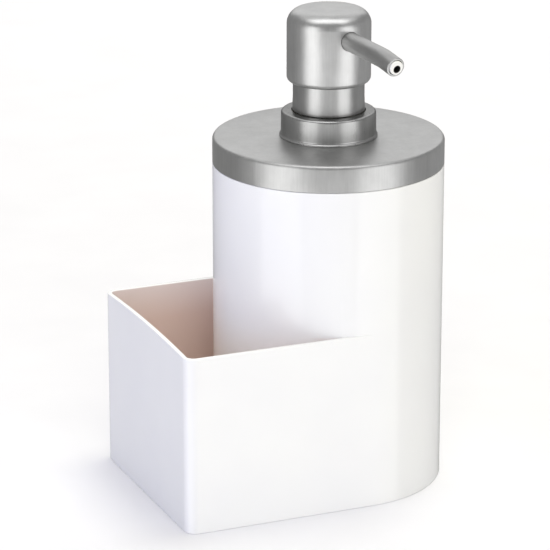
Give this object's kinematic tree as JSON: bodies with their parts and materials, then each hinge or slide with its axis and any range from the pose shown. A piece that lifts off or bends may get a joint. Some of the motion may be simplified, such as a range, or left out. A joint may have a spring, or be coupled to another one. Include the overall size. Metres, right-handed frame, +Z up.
{
  "type": "soap pump caddy",
  "caption": "Round soap dispenser tower with a press pump in its lift-off lid and an open sponge box moulded onto its foot, for a sink or vanity.",
  "frame": {"origin": "on the standing surface, at the axis of the round soap tower", "axes": "+Z up along the tower and the pump, the sponge box towards -X, the spout towards -Y at rest, turned 6.5 degrees towards +X"},
  "size_m": [0.122, 0.0946, 0.1881],
  "materials": {
    "white_body_plastic": "glossy white moulded plastic",
    "satin_nickel": "satin brushed nickel colour",
    "natural_plastic": "unpainted natural white moulding",
    "pump_plastic": "smooth white engineering plastic",
    "tube_plastic": "milky extruded tube",
    "liner_plastic": "smooth white tube",
    "seal_rubber": "soft moulded rubber",
    "spring_steel": "drawn spring wire",
    "ball_steel": "polished ball"
  },
  "bodies": {
    "caddy": {"caddy_body": "white_body_plastic"},
    "lid": {"lid_cover": "satin_nickel", "lid_insert": "natural_plastic", "lid_seal": "seal_rubber", "neck_gasket": "seal_rubber", "collar_shell": "satin_nickel", "closure_ring": "natural_plastic", "pump_housing": "natural_plastic", "stem_guide": "pump_plastic", "return_spring": "spring_steel", "ball_retainer": "pump_plastic", "dip_tube": "tube_plastic"},
    "plunger": {"pump_stem": "pump_plastic", "stem_foot": "pump_plastic"},
    "head": {"head_shell": "satin_nickel", "head_core": "pump_plastic", "neck_sleeve": "satin_nickel", "spout_tube": "satin_nickel", "nozzle_liner": "liner_plastic"},
    "piston": {"pump_piston": "pump_plastic"},
    "ball": {"inlet_ball": "ball_steel"}
  },
  "joints": [
    {"name": "lid_lift", "type": "slide", "parent": "caddy", "child": "lid", "axis": [0, 0, 1], "range_m": [0, 0.13]},
    {"name": "head_press", "type": "slide", "parent": "lid", "child": "plunger", "axis": [0, 0, -1], "range_m": [0, 0.01], "stiffness_N_per_m": 400, "springref_m": -0.01, "deforming": ["return_spring"]},
    {"name": "head_swivel", "type": "hinge", "parent": "plunger", "child": "head", "pos_m": [0, 0, 0.179], "axis": [0, 0, 1], "continuous": true},
    {"name": "piston_slip", "type": "slide", "parent": "plunger", "child": "piston", "axis": [0, 0, 1], "range_m": [0, 0.001]},
    {"name": "ball_lift", "type": "slide", "parent": "lid", "child": "ball", "axis": [0, 0, 1], "range_m": [0, 0.0015]}
  ]
}
